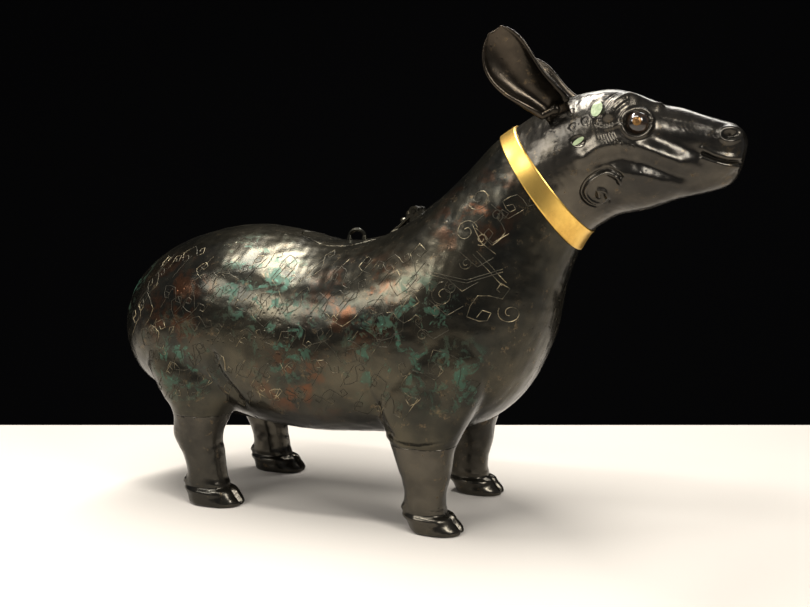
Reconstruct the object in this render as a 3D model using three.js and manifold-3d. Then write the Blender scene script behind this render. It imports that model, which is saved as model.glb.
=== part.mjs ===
// An animal-shaped bronze wine vessel: a hollow quadruped with a hinged lid on its back.
// Millimetres, +X towards the head, +Y the animal's left, +Z up, hooves standing on z = 0.

import * as THREE from 'three';
import { mergeVertices } from 'three/addons/utils/BufferGeometryUtils.js';
import Module from 'manifold-3d';

const wasm = await Module();
wasm.setup();

// Driving dimensions
const CLEARANCE = 0.3;          // gap between pieces that seat on each other
const WALL = 3.2;               // thickness of the cast body wall
const COLLAR_THICKNESS = 1.6;
const JOINT_FRONT = 51;         // height of the joint between shoulder and cast foreleg
const JOINT_REAR = 57;          // height of the joint between haunch and cast hind leg
const STANCE = 41.5;            // half the distance between left and right hooves
const FRONT_HOOF_X = 33;        // forelegs, measured on the leg above the hoof
const REAR_HOOF_X = -113;
const TENON_RADIUS = 6;
const TENON_LENGTH = 9;
const EYE_RADIUS = 6.4;
const PUPIL_RADIUS = 2.3;
const INLAY_DEPTH = 1.1;
const LID_CENTRE_X = -31;
const LID_HALF_LENGTH = 33;
const LID_HALF_WIDTH = 21;
const LID_THICKNESS = 2.8;
const LID_GAP = 0.8;            // running gap round the lid
const HINGE_X = 12;
const HINGE_Z = 182.2;
const KNUCKLE_RADIUS = 3.1;
const LID_KNUCKLE_WIDTH = 6;
const BRACKET_KNUCKLE_WIDTH = 3.4;
const PIN_RADIUS = 1.1;
const LOOP_X = -28;
const LOOP_RADIUS = 4.6;
const LOOP_WIRE = 1.3;
const SPIGOT_LENGTH = 9;

// Sections of the body from rump to collar: the upper and lower points of each section in
// the plane of symmetry, its half width, how square it is, and how high its widest part sits.
const BODY = [
  { top: [-183.5, 112], low: [-182.5, 99], half: 7, square: 2, lift: 0 },
  { top: [-179.5, 130], low: [-177.5, 83], half: 29, square: 2.05, lift: 0 },
  { top: [-167, 148], low: [-167, 69], half: 45, square: 2.1, lift: 0 },
  { top: [-146, 161.5], low: [-150, 61], half: 56, square: 2.15, lift: 0.02 },
  { top: [-120, 170], low: [-127, 57], half: 62, square: 2.2, lift: 0.03 },
  { top: [-94, 173.2], low: [-104, 52.5], half: 65, square: 2.2, lift: 0.02 },
  { top: [-65, 169.3], low: [-78, 47.5], half: 66, square: 2.2, lift: -0.04 },
  { top: [-38, 163.8], low: [-48, 45.5], half: 66, square: 2.2, lift: -0.06 },
  { top: [-12, 166.3], low: [-16, 47], half: 65, square: 2.2, lift: -0.05 },
  { top: [8, 174.5], low: [20, 50], half: 63, square: 2.2, lift: -0.05 },
  { top: [27, 188], low: [53, 56], half: 59.5, square: 2.2, lift: -0.08 },
  { top: [41, 200.5], low: [78, 74], half: 53, square: 2.15, lift: -0.1 },
  { top: [52, 212], low: [95, 105], half: 44, square: 2.1, lift: -0.08 },
  { top: [60, 220.5], low: [102.5, 138], half: 37, square: 2.1, lift: -0.05 },
  { top: [65.5, 225], low: [110.5, 161], half: 33, square: 2.1, lift: 0 },
  { top: [70, 228], low: [116, 170], half: 31.5, square: 2.1, lift: 0 },
];

// Sections of the head from collar to nose
const HEAD = [
  { top: [70.2, 228.2], low: [116.2, 170.2], half: 31.5, square: 2.1, lift: 0 },
  { top: [80, 234], low: [120.5, 173.8], half: 30.5, square: 2.1, lift: 0.05 },
  { top: [92, 241.5], low: [126, 177.5], half: 30, square: 2.15, lift: 0.1 },
  { top: [106, 246.5], low: [133, 181], half: 30, square: 2.2, lift: 0.15 },
  { top: [119, 249], low: [140, 182.5], half: 30.2, square: 2.3, lift: 0.2 },
  { top: [131, 249.5], low: [148, 184], half: 29.5, square: 2.35, lift: 0.22 },
  { top: [142, 246.5], low: [156, 186.5], half: 27, square: 2.3, lift: 0.2 },
  { top: [153, 242.5], low: [164, 189.5], half: 22.5, square: 2.2, lift: 0.1 },
  { top: [165, 239], low: [172, 191.5], half: 18.5, square: 2.2, lift: 0.02 },
  { top: [176, 235], low: [179, 193], half: 16.5, square: 2.3, lift: 0 },
  { top: [185, 232], low: [186, 195], half: 16, square: 2.4, lift: 0.02 },
  { top: [192.5, 229.5], low: [191.5, 197.5], half: 14.5, square: 2.4, lift: 0.05 },
  { top: [197.5, 225.5], low: [195.5, 202.5], half: 11, square: 2.2, lift: 0.05 },
  { top: [199.7, 220], low: [198, 210.5], half: 5.5, square: 2, lift: 0 },
];

// Sections of the legs, level rings: height, fore-aft centre from the hoof line, half length,
// distance out from the stance line, half width
const FORELEG = [
  { z: 0, x: 7.5, length: 15.5, out: 0, width: 12.5 },
  { z: 3, x: 6.5, length: 15.8, out: 0, width: 12.8 },
  { z: 9, x: 2.2, length: 14, out: 0, width: 12 },
  { z: 14, x: 0, length: 12, out: 0, width: 11 },
  { z: 24, x: 0, length: 12.4, out: 0, width: 11.2 },
  { z: 34, x: 0, length: 15, out: 0.5, width: 12.8 },
  { z: 44, x: -1, length: 17.2, out: 0.5, width: 15 },
  { z: 54, x: -1, length: 20.5, out: 0, width: 17.5 },
  { z: 66, x: -1, length: 27, out: -1, width: 20.5 },
  { z: 84, x: 1, length: 34, out: -2.5, width: 23.5 },
  { z: 106, x: 4, length: 35, out: -4, width: 25.5 },
  { z: 126, x: 6, length: 28, out: -8, width: 25 },
  { z: 144, x: 6, length: 10, out: -20, width: 14 },
];
const HINDLEG = [
  { z: 0, x: 6.5, length: 18, out: 0, width: 12.5 },
  { z: 3, x: 6, length: 18.3, out: 0, width: 12.8 },
  { z: 9, x: 2.6, length: 16, out: 0, width: 11.8 },
  { z: 14, x: 0.2, length: 13.4, out: 0, width: 10.8 },
  { z: 22, x: -0.4, length: 12.4, out: 0, width: 10.6 },
  { z: 32, x: -2.6, length: 13.2, out: 0, width: 11.6 },
  { z: 43, x: -5.8, length: 15.4, out: 0.3, width: 13 },
  { z: 58, x: -3, length: 18.5, out: -1, width: 16.5 },
  { z: 72, x: -4, length: 28, out: -2.5, width: 20.5 },
  { z: 90, x: -8, length: 35, out: -5, width: 24.5 },
  { z: 112, x: -11, length: 36, out: -8, width: 26.5 },
  { z: 132, x: -11, length: 27, out: -13, width: 24.5 },
  { z: 148, x: -10, length: 10, out: -20, width: 14 },
];

// The ear's midline from root to tip on the right side, with half width and hollow depth
const EAR = [
  { at: [104, -16, 228], half: 6, depth: 3.5 },
  { at: [103.5, -27, 235], half: 7, depth: 5 },
  { at: [100.5, -33, 240], half: 8.2, depth: 7 },
  { at: [95, -37.5, 245], half: 9.6, depth: 8.5 },
  { at: [88, -41, 251], half: 11.2, depth: 9 },
  { at: [82, -43.5, 258.5], half: 12.4, depth: 8 },
  { at: [77.5, -45, 266.5], half: 12, depth: 6 },
  { at: [74.5, -46, 273.5], half: 8.8, depth: 3.5 },
  { at: [73, -46.5, 279], half: 3.8, depth: 1 },
];
const EAR_THICKNESS = 2.6;
const LEFT_EAR_LEAN = 0.16;     // the left ear lies further back, in radians
const EAR_ACROSS = new THREE.Vector3(0.84, 0.12, 0.53).normalize();
const EAR_OPENING = new THREE.Vector3(0.1, -0.97, 0.2).normalize();

// Colours and finish
const bronze = { color: 0x2b2a24, roughness: 0.34, metalness: 0.85 };
const gold = { color: 0xc9962f, roughness: 0.28, metalness: 1 };
const stone = { color: 0xa9b98c, roughness: 0.6, metalness: 0 };
const glaze = { color: 0x17120d, roughness: 0.12, metalness: 0 };

// Smooth value between neighbouring sections, passing through each of them
function between(rows, pick, u) {
  const last = rows.length - 1;
  const i = Math.min(Math.floor(u), last - 1);
  const t = u - i;
  const p0 = pick(rows[Math.max(i - 1, 0)]);
  const p1 = pick(rows[i]);
  const p2 = pick(rows[i + 1]);
  const p3 = pick(rows[Math.min(i + 2, last)]);
  const m1 = (p2 - p0) / 2;
  const m2 = (p3 - p1) / 2;
  const t2 = t * t;
  const t3 = t2 * t;
  return (2 * t3 - 3 * t2 + 1) * p1 + (t3 - 2 * t2 + t) * m1 + (3 * t2 - 2 * t3) * p2 + (t3 - t2) * m2;
}

const power = (value, n) => Math.sign(value) * Math.abs(value) ** (2 / n);

// One section of the body or head as a ring of points, grown outwards by "grow"
function sectionRing(rows, u, grow, count) {
  const top = [between(rows, (r) => r.top[0], u), between(rows, (r) => r.top[1], u)];
  const low = [between(rows, (r) => r.low[0], u), between(rows, (r) => r.low[1], u)];
  const half = between(rows, (r) => r.half, u) + grow;
  const square = between(rows, (r) => r.square, u);
  const lift = between(rows, (r) => r.lift, u);
  const height = Math.hypot(top[0] - low[0], top[1] - low[1]) / 2;
  const dir = [(top[0] - low[0]) / 2 / height, (top[1] - low[1]) / 2 / height];
  const ring = [];
  for (let i = 0; i < count; i += 1) {
    const angle = (i / count) * Math.PI * 2;
    const side = power(Math.cos(angle), square);
    const up = power(Math.sin(angle), square);
    const raised = up + lift * (1 - up * up);
    const reach = raised * (height + grow);
    ring.push(new THREE.Vector3(
      (top[0] + low[0]) / 2 + dir[0] * reach,
      side * half,
      (top[1] + low[1]) / 2 + dir[1] * reach,
    ));
  }
  return ring;
}

// A level ring of a leg
function legRing(rows, u, baseX, side, count) {
  const value = (name) => between(rows, (r) => r[name], u);
  const ring = [];
  for (let i = 0; i < count; i += 1) {
    const angle = (i / count) * Math.PI * 2;
    ring.push(new THREE.Vector3(
      baseX + value('x') + value('length') * power(Math.cos(angle), 2.3),
      side * (STANCE + value('out')) + value('width') * power(Math.sin(angle), 2.3),
      value('z'),
    ));
  }
  return ring;
}

// A closed skin over a row of rings, each with the same number of points, capped at both ends
function loft(rings) {
  const count = rings[0].length;
  const points = rings.flat();
  const index = [];
  for (let r = 0; r < rings.length - 1; r += 1) {
    for (let i = 0; i < count; i += 1) {
      const a = r * count + i;
      const b = r * count + ((i + 1) % count);
      index.push(a, b, b + count, a, b + count, a + count);
    }
  }
  const cap = (ring, flip) => {
    const centre = ring.reduce((sum, p) => sum.add(p), new THREE.Vector3()).divideScalar(count);
    points.push(centre);
    const middle = points.length - 1;
    const base = flip ? 0 : (rings.length - 1) * count;
    for (let i = 0; i < count; i += 1) {
      const a = base + i;
      const b = base + ((i + 1) % count);
      index.push(...(flip ? [middle, b, a] : [middle, a, b]));
    }
  };
  cap(rings[0], true);
  cap(rings[rings.length - 1], false);
  const geometry = new THREE.BufferGeometry().setFromPoints(points);
  geometry.setIndex(index);
  return solid(geometry);
}

// A closed geometry as a solid that can be joined and cut
function solid(source) {
  const plain = source.clone();
  plain.deleteAttribute('normal');
  plain.deleteAttribute('uv');
  const geometry = mergeVertices(plain, 1e-4);
  const make = (order) => new wasm.Manifold(new wasm.Mesh({
    numProp: 3,
    vertProperties: new Float32Array(geometry.attributes.position.array),
    triVerts: new Uint32Array(order),
  }));
  const faces = Array.from(geometry.index.array);
  const made = make(faces);
  if (made.volume() > 0) return made;
  for (let i = 0; i < faces.length; i += 3) {
    const swap = faces[i];
    faces[i] = faces[i + 1];
    faces[i + 1] = swap;
  }
  return make(faces);
}

// The loft of a table of sections between two places along it
function skin(rows, from, to, steps, grow, count) {
  const rings = [];
  for (let i = 0; i <= steps; i += 1) {
    rings.push(sectionRing(rows, from + ((to - from) * i) / steps, grow, count));
  }
  return loft(rings);
}

function legSolid(rows, baseX, side, count) {
  const rings = [];
  const steps = (rows.length - 1) * LEG_STEPS;
  for (let i = 0; i <= steps; i += 1) rings.push(legRing(rows, i / LEG_STEPS, baseX, side, count));
  return loft(rings);
}

const placed = (geometry, x, y, z) => solid(geometry.translate(x, y, z));
const box = (x0, x1, y0, y1, z0, z1) => placed(
  new THREE.BoxGeometry(x1 - x0, y1 - y0, z1 - z0), (x0 + x1) / 2, (y0 + y1) / 2, (z0 + z1) / 2,
);
const barrel = (radius, length, x, y, z, sides = 20) => placed(
  new THREE.CylinderGeometry(radius, radius, length, sides), x, y, z,
);
const upright = (radius, length, x, y, z, sides = 20) => placed(
  new THREE.CylinderGeometry(radius, radius, length, sides).rotateX(Math.PI / 2), x, y, z,
);

const root = new THREE.Group();

function addPart(name, shape, finish) {
  const mesh = shape.getMesh();
  const geometry = new THREE.BufferGeometry();
  geometry.setAttribute('position', new THREE.BufferAttribute(new Float32Array(mesh.vertProperties), 3));
  geometry.setIndex(new THREE.BufferAttribute(new Uint32Array(mesh.triVerts), 1));
  geometry.computeVertexNormals();
  const part = new THREE.Mesh(geometry, new THREE.MeshStandardMaterial(finish));
  part.name = name;
  root.add(part);
}

const BODY_SIDES = 28;
const HEAD_SIDES = 22;
const LEG_SIDES = 16;
const LEG_STEPS = 1;
const bodyEnd = BODY.length - 1;
const headEnd = HEAD.length - 1;
const BODY_STEPS = 22;
const HEAD_STEPS = 18;
const SIDES = [{ word: 'right', sign: -1 }, { word: 'left', sign: 1 }];
const LIMBS = [
  { word: 'front', rows: FORELEG, x: FRONT_HOOF_X, joint: JOINT_FRONT },
  { word: 'rear', rows: HINDLEG, x: REAR_HOOF_X, joint: JOINT_REAR },
];
const FAR = 400;

// Body casting: outer skin with haunches, shoulders and tail, hollowed, open at the neck
const bodyGrown = (grow) => skin(BODY, 0, bodyEnd, BODY_STEPS, grow, BODY_SIDES);
const headGrown = (grow) => skin(HEAD, 0, headEnd, HEAD_STEPS, grow, HEAD_SIDES);
const bodySkin = bodyGrown(0);
let body = bodySkin;
const legs = {};
for (const limb of LIMBS) {
  for (const side of SIDES) {
    const whole = legSolid(limb.rows, limb.x, side.sign, LEG_SIDES);
    const upper = whole.intersect(box(-FAR, FAR, -FAR, FAR, limb.joint + CLEARANCE, FAR));
    body = body.add(upper);
    legs[`${limb.word}_${side.word}`] = { whole, limb, side };
  }
}

// Short tail lying against the rump, with its tip hanging free
const TAIL = [[-181, 114, 4], [-184.5, 100, 4.6], [-181, 84, 5], [-175, 71, 4.8], [-169.5, 61, 4], [-167, 55, 1.8]];
const tailRings = TAIL.map(([x, z, r]) => {
  const ring = [];
  for (let i = 0; i < 12; i += 1) {
    const angle = (i / 12) * Math.PI * 2;
    ring.push(new THREE.Vector3(x + r * 0.8 * Math.cos(angle), r * Math.sin(angle), z));
  }
  return ring;
});
body = body.add(loft(tailRings));

const HOLLOW_SIDES = 24;
const hollow = skin(BODY, 0.9, bodyEnd, bodyEnd, -WALL, HOLLOW_SIDES);
const mouthRing = sectionRing(BODY, bodyEnd, -WALL, HOLLOW_SIDES);
const neckAxis = new THREE.Vector3(58, 0, 46).normalize();
const shifted = (ring, distance) => ring.map((p) => p.clone().addScaledVector(neckAxis, distance));
const neckMouth = loft([shifted(mouthRing, -1), shifted(mouthRing, 6)]);
body = body.subtract(hollow).subtract(neckMouth);

// Legs: each casting carries a round tenon that enters a socket in the body
for (const { whole, limb, side } of Object.values(legs)) {
  const y = side.sign * STANCE;
  const x = limb.x - 2;
  const tenon = upright(TENON_RADIUS, TENON_LENGTH + 2, x, y, limb.joint + TENON_LENGTH / 2 - 1);
  const socket = upright(
    TENON_RADIUS + CLEARANCE, TENON_LENGTH + CLEARANCE + 2, x, y, limb.joint + (TENON_LENGTH + CLEARANCE) / 2,
  );
  body = body.subtract(socket);
  // the cleft between the two toes, open at the front of the hoof
  const cleft = new THREE.Shape([
    new THREE.Vector2(6, 0), new THREE.Vector2(26, -1.6), new THREE.Vector2(26, 1.6),
  ]);
  const cut = placed(
    new THREE.ExtrudeGeometry(cleft, { depth: 12, bevelEnabled: false }), limb.x, y, -1,
  );
  const lower = whole.intersect(box(-FAR, FAR, -FAR, FAR, -1, limb.joint));
  const claws = [-1, 1].map((turn) => placed(
    new THREE.SphereGeometry(2.6, 8, 6).scale(1, 1, 1.5), limb.x - 11.5, y + turn * 4.6, 13,
  ));
  const leg = lower.add(tenon).add(claws[0]).add(claws[1]).subtract(cut);
  addPart(`leg_${limb.word}_${side.word}`, leg, bronze);
}

// Lid: a piece of the back's own curve, cut free with a running gap and carried by a hinge arm
function lidPrism(grow) {
  const shape = new THREE.Shape();
  shape.absellipse(LID_CENTRE_X, 0, LID_HALF_LENGTH + grow, LID_HALF_WIDTH + grow, 0, Math.PI * 2, false, 0);
  const prism = new THREE.ExtrudeGeometry(shape, { depth: 80, bevelEnabled: false, curveSegments: 18 });
  return placed(prism, 0, 0, 120);
}
body = body.subtract(lidPrism(LID_GAP));
let lid = bodySkin.intersect(lidPrism(0)).subtract(bodyGrown(-LID_THICKNESS));
const armStart = LID_CENTRE_X + LID_HALF_LENGTH - 7;
const arm = new THREE.Shape([
  new THREE.Vector2(armStart, 166.2),
  new THREE.Vector2(armStart, 169.4),
  new THREE.Vector2(3, 175.5),
  new THREE.Vector2(HINGE_X - 1.5, HINGE_Z + KNUCKLE_RADIUS * 0.8),
  new THREE.Vector2(HINGE_X, HINGE_Z),
  new THREE.Vector2(HINGE_X - 2, HINGE_Z - 2.3),
]);
const armSolid = placed(
  new THREE.ExtrudeGeometry(arm, { depth: LID_KNUCKLE_WIDTH, bevelEnabled: false })
    .translate(0, 0, -LID_KNUCKLE_WIDTH / 2).rotateX(Math.PI / 2),
  0, 0, 0,
);
const napeSpace = bodyGrown(2 * CLEARANCE);
const hingeHole = barrel(PIN_RADIUS + CLEARANCE, 60, HINGE_X, 0, HINGE_Z);
const lobes = [[3.2, 176, 2.6], [7.4, 180, 3.1]].map(([x, z, r]) => placed(
  new THREE.SphereGeometry(r, 10, 7), x, 0, z,
));
let hingeArm = armSolid.add(lobes[0]).add(lobes[1]);
hingeArm = hingeArm.subtract(napeSpace.subtract(lidPrism(0)));
lid = lid.add(hingeArm).add(barrel(KNUCKLE_RADIUS, LID_KNUCKLE_WIDTH, HINGE_X, 0, HINGE_Z));
lid = lid.subtract(hingeHole);

// Hinge bracket on the nape: two knuckles on a foot, cut to the body's surface
const bracketY = LID_KNUCKLE_WIDTH / 2 + CLEARANCE + BRACKET_KNUCKLE_WIDTH / 2;
const skinGap = bodyGrown(CLEARANCE);
let bracket = box(HINGE_X + 3.6, HINGE_X + 5.8, -bracketY - 1.7, bracketY + 1.7, 170, HINGE_Z + 1);
for (const side of [-1, 1]) {
  const y = side * bracketY;
  bracket = bracket.add(barrel(KNUCKLE_RADIUS, BRACKET_KNUCKLE_WIDTH, HINGE_X, y, HINGE_Z));
  const half = BRACKET_KNUCKLE_WIDTH / 2;
  bracket = bracket.add(box(HINGE_X - 2.4, HINGE_X + 4, y - half, y + half, 170, HINGE_Z));
}
bracket = bracket.subtract(skinGap).subtract(hingeHole);
const pin = barrel(PIN_RADIUS, 2 * bracketY + BRACKET_KNUCKLE_WIDTH + 1, HINGE_X, 0, HINGE_Z, 14);

addPart('trunk', body, bronze);
addPart('lid', lid, bronze);
addPart('hinge_bracket', bracket, bronze);
addPart('hinge_pin', pin, bronze);

// Lid loop: a half ring with flared feet, its hole across the lid
const loopPath = new THREE.CatmullRomCurve3([-1.35, -1.05, -0.7, -0.35, 0, 0.35, 0.7, 1.05, 1.35].map((a) => (
  new THREE.Vector3(
    LOOP_X + LOOP_RADIUS * Math.sin(a * 1.3) * 1.15, 0, 164.4 + LOOP_RADIUS * 1.35 * Math.cos(a * 1.2),
  ))));
const loopSection = new THREE.Shape();
loopSection.absellipse(0, 0, LOOP_WIRE, LOOP_WIRE, 0, Math.PI * 2, false, 0);
let loop = solid(new THREE.ExtrudeGeometry(loopSection, {
  steps: 14, bevelEnabled: false, extrudePath: loopPath, curveSegments: 4,
}));
for (const end of [-1, 1]) {
  const foot = new THREE.CylinderGeometry(1.3, 2.2, 4.4, 14).rotateX(Math.PI / 2);
  loop = loop.add(placed(foot, LOOP_X + end * LOOP_RADIUS * 1.1, 0, 165));
}
loop = loop.subtract(skinGap);
addPart('lid_loop', loop, bronze);

// Head: solid casting with its core, a spigot entering the neck, features cut or raised on it
const headSkin = headGrown(0);
const spigotRing = sectionRing(BODY, bodyEnd, -WALL - CLEARANCE, HEAD_SIDES);
const spigot = loft([shifted(spigotRing, -SPIGOT_LENGTH), shifted(spigotRing, 4)]);
const deepNeck = skin(BODY, bodyEnd - 2, bodyEnd, 4, -WALL - CLEARANCE, HEAD_SIDES);
const throat = loft([shifted(spigotRing, -0.2), shifted(spigotRing, 4)]);
let head = headSkin.add(spigot.intersect(deepNeck.add(throat)));

// The right flank of the head: how far out the surface lies beside a point of the profile
const headRings = [];
for (let i = 0; i <= headEnd * 6; i += 1) headRings.push(...sectionRing(HEAD, i / 6, 0, 120));
function flank(x, z) {
  let best = null;
  let bestDistance = Infinity;
  for (const p of headRings) {
    const distance = (p.x - x) ** 2 + (p.z - z) ** 2;
    if (p.y <= 0 && distance < bestDistance) {
      bestDistance = distance;
      best = p;
    }
  }
  return -best.y;
}

// A rounded ridge laid along the flank through points of the profile
function ridge(points, radius, side, steps) {
  const path = new THREE.CatmullRomCurve3(points.map(([x, z, sink]) => (
    new THREE.Vector3(x, side * (flank(x, z) - (sink ?? radius * 0.35)), z))));
  const section = new THREE.Shape();
  section.absellipse(0, 0, radius, radius, 0, Math.PI * 2, false, 0);
  return solid(new THREE.ExtrudeGeometry(section, {
    steps, bevelEnabled: false, extrudePath: path, curveSegments: 3,
  }));
}

const EYE_AT = [145, 229.5];
const eyeOut = flank(EYE_AT[0], EYE_AT[1]) - EYE_RADIUS * 0.45;
const scroll = [];
for (let i = 0; i <= 14; i += 1) {
  const angle = 1.2 + (i / 14) * Math.PI * 3;
  const radius = 9.5 - (i / 14) * 6.5;
  scroll.push([127 + radius * Math.cos(angle), 196 + radius * Math.sin(angle)]);
}

const inlays = [
  { name: 'brow_inlay', at: [124, 237.5], long: 4.2, wide: 2.9, turn: 1.3 },
  { name: 'temple_inlay', at: [115, 220.5], long: 3.6, wide: 1.3, turn: 0.6 },
];
const inlayOuter = headGrown(0.25);
const inlayFloor = skin(HEAD, 0.5, headEnd - 0.5, HEAD_STEPS, -INLAY_DEPTH, HEAD_SIDES);
const pocketFloor = skin(HEAD, 0.5, headEnd - 0.5, HEAD_STEPS, -INLAY_DEPTH - CLEARANCE, HEAD_SIDES);

function inlayPlug({ at, long, wide, turn }, side, grow) {
  const shape = new THREE.Shape();
  shape.absellipse(0, 0, long + grow, wide + grow, 0, Math.PI * 2, false, turn);
  const plug = new THREE.ExtrudeGeometry(shape, { depth: 30, bevelEnabled: false, curveSegments: 8 });
  plug.rotateX(Math.PI / 2);
  return placed(plug, at[0], side < 0 ? -10 : 40, at[1]);
}

const dressed = [];
for (const { word, sign } of SIDES) {
  const brow = [[133, 236], [137, 240.5], [144, 242], [151, 239], [156, 232], [157.5, 226]];
  head = head.add(ridge(brow, 2, sign, 9));
  head = head.add(ridge([[135, 227], [139, 222], [146, 220.4], [153, 223], [157, 228]], 1.4, sign, 7));
  head = head.add(ridge([[124, 216], [131, 217.5], [140, 216], [150, 213.5], [160, 211]], 2.4, sign, 6));
  head = head.add(ridge(scroll, 1.8, sign, 20));
  const socket = placed(
    new THREE.SphereGeometry(EYE_RADIUS + CLEARANCE, 14, 10), EYE_AT[0], sign * eyeOut, EYE_AT[1],
  );
  head = head.subtract(socket);
  const ball = placed(new THREE.SphereGeometry(EYE_RADIUS, 14, 10), EYE_AT[0], sign * eyeOut, EYE_AT[1]);
  const proud = placed(
    new THREE.SphereGeometry(EYE_RADIUS + 0.25, 14, 10), EYE_AT[0], sign * eyeOut, EYE_AT[1],
  );
  const inner = placed(
    new THREE.SphereGeometry(EYE_RADIUS - 0.9, 14, 10), EYE_AT[0], sign * eyeOut, EYE_AT[1],
  );
  const gaze = (radius) => barrel(radius, 12, EYE_AT[0] + 0.8, sign * (eyeOut + 6.5), EYE_AT[1] + 0.8);
  addPart(`eye_${word}`, ball.subtract(gaze(PUPIL_RADIUS + CLEARANCE).subtract(
    placed(new THREE.SphereGeometry(EYE_RADIUS - 1.2, 14, 10), EYE_AT[0], sign * eyeOut, EYE_AT[1]),
  )), glaze);
  addPart(`pupil_${word}`, proud.intersect(gaze(PUPIL_RADIUS)).subtract(inner), gold);
  for (const inlay of inlays) {
    head = head.subtract(inlayPlug(inlay, sign, CLEARANCE).subtract(pocketFloor));
    const plug = inlayPlug(inlay, sign, 0).intersect(inlayOuter).subtract(inlayFloor);
    dressed.push([`${inlay.name}_${word}`, plug]);
  }
  const nostril = placed(
    new THREE.SphereGeometry(3.2, 14, 10).scale(1.25, 1, 0.8), 191.5, sign * (flank(191.5, 223) - 0.6), 223.5,
  );
  head = head.subtract(nostril);
}
for (const [name, plug] of dressed) addPart(name, plug, stone);

// Crown inlay, let into the top of the forehead
const crown = (grow) => upright(1, 1, 0, 0, 0, 24).scale([4.6 + grow, 2 + grow, 30]).translate([133, 0, 250]);
head = head.subtract(crown(CLEARANCE).subtract(pocketFloor));
addPart('crown_inlay', crown(0).intersect(inlayOuter).subtract(inlayFloor), stone);

// Mouth: a narrow slit running back from the lips
const slit = new THREE.Shape([
  new THREE.Vector2(177.5, 212.4),
  new THREE.Vector2(190, 208.3),
  new THREE.Vector2(202, 208.6),
  new THREE.Vector2(202, 206.6),
  new THREE.Vector2(190, 207),
]);
const mouth = placed(
  new THREE.ExtrudeGeometry(slit, { depth: 60, bevelEnabled: false }).translate(0, 0, -30).rotateX(Math.PI / 2),
  0, 0, 0,
).subtract(skin(HEAD, 7, headEnd - 0.5, 6, -2.6, HEAD_SIDES));
head = head.subtract(mouth);

// Ears: a leaf with a hollow face, its root cut to the head's surface
function ear(sign) {
  const rings = [];
  const steps = Math.round((EAR.length - 1) * 1.5);
  const across = 6;
  for (let i = 0; i <= steps; i += 1) {
    const u = i / 1.5;
    const centre = new THREE.Vector3(...[0, 1, 2].map((axis) => between(EAR, (r) => r.at[axis], u)));
    const half = between(EAR, (r) => r.half, u);
    const depth = between(EAR, (r) => r.depth, u);
    const ring = [];
    for (const back of [true, false]) {
      for (let j = 0; j <= across; j += 1) {
        const t = (back ? 1 : -1) * ((2 * j) / across - 1);
        const width = half * (back ? 1 : 0.94);
        const out = (t * t - 1) * depth + (back ? -EAR_THICKNESS / 2 : EAR_THICKNESS / 2 * (1.2 - 0.6 * t * t));
        ring.push(centre.clone().addScaledVector(EAR_ACROSS, t * width).addScaledVector(EAR_OPENING, out));
      }
    }
    const root = EAR[0].at;
    const lean = sign > 0 ? LEFT_EAR_LEAN : 0;
    rings.push(ring.map((p) => new THREE.Vector3(
      root[0] + (p.x - root[0]) * Math.cos(lean) - (p.z - root[2]) * Math.sin(lean),
      -sign * p.y,
      root[2] + (p.x - root[0]) * Math.sin(lean) + (p.z - root[2]) * Math.cos(lean),
    )));
  }
  return loft(rings).subtract(headGrown(CLEARANCE));
}
addPart('ear_right', ear(-1), bronze);
addPart('ear_left', ear(1), bronze);

// Collar: a plain band over the joint between neck and head
const COLLAR = [BODY[bodyEnd - 1], BODY[bodyEnd], HEAD[1], HEAD[2]];
const band = skin(COLLAR, 0.12, 1.62, 4, CLEARANCE + COLLAR_THICKNESS, HEAD_SIDES);
const bore = skin(COLLAR, 0, 2, 6, CLEARANCE, HEAD_SIDES);
addPart('collar', band.subtract(bore).subtract(bodyGrown(CLEARANCE)).subtract(headGrown(CLEARANCE)), gold);
addPart('head', head, bronze);

// The origin lies under the middle of the overall length
const extent = new THREE.Box3().setFromObject(root);
root.position.x = -(extent.min.x + extent.max.x) / 2;

export default root;
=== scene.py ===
"""The looks of an animal-shaped bronze wine vessel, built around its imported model."""

import math

import bmesh
import bpy
import numpy as np
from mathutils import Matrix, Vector
from mathutils.bvhtree import BVHTree


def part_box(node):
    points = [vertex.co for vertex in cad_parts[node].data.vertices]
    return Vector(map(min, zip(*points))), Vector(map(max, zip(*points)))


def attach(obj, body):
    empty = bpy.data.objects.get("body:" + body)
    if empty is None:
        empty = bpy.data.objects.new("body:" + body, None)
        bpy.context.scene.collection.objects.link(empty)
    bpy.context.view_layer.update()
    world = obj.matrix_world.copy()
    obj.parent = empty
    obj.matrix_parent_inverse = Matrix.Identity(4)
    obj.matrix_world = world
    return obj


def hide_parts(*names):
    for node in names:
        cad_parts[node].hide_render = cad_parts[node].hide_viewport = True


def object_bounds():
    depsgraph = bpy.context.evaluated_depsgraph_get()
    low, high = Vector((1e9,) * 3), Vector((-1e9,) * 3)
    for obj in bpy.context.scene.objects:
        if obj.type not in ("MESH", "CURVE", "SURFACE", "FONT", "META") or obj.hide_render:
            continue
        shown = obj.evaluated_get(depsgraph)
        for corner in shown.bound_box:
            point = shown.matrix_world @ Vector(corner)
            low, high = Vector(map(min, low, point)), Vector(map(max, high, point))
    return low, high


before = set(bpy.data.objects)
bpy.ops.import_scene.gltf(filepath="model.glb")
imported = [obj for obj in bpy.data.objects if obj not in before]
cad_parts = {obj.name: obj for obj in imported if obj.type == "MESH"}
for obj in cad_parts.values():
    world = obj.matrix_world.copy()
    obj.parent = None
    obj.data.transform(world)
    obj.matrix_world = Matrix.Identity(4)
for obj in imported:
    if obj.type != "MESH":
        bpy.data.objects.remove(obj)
cad_box = [[float(c) for c in corner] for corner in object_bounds()]
scene = bpy.context.scene

# Lengths are in millimetres, and in metres where a comment says so
MM = 0.001
SHIFT = -5.75                    # added to the section tables' x, gives the frame's x
INSET = 0.04                     # how far the looks stay inside the model's box
SIDES = {"right": -1, "left": 1}

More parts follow.
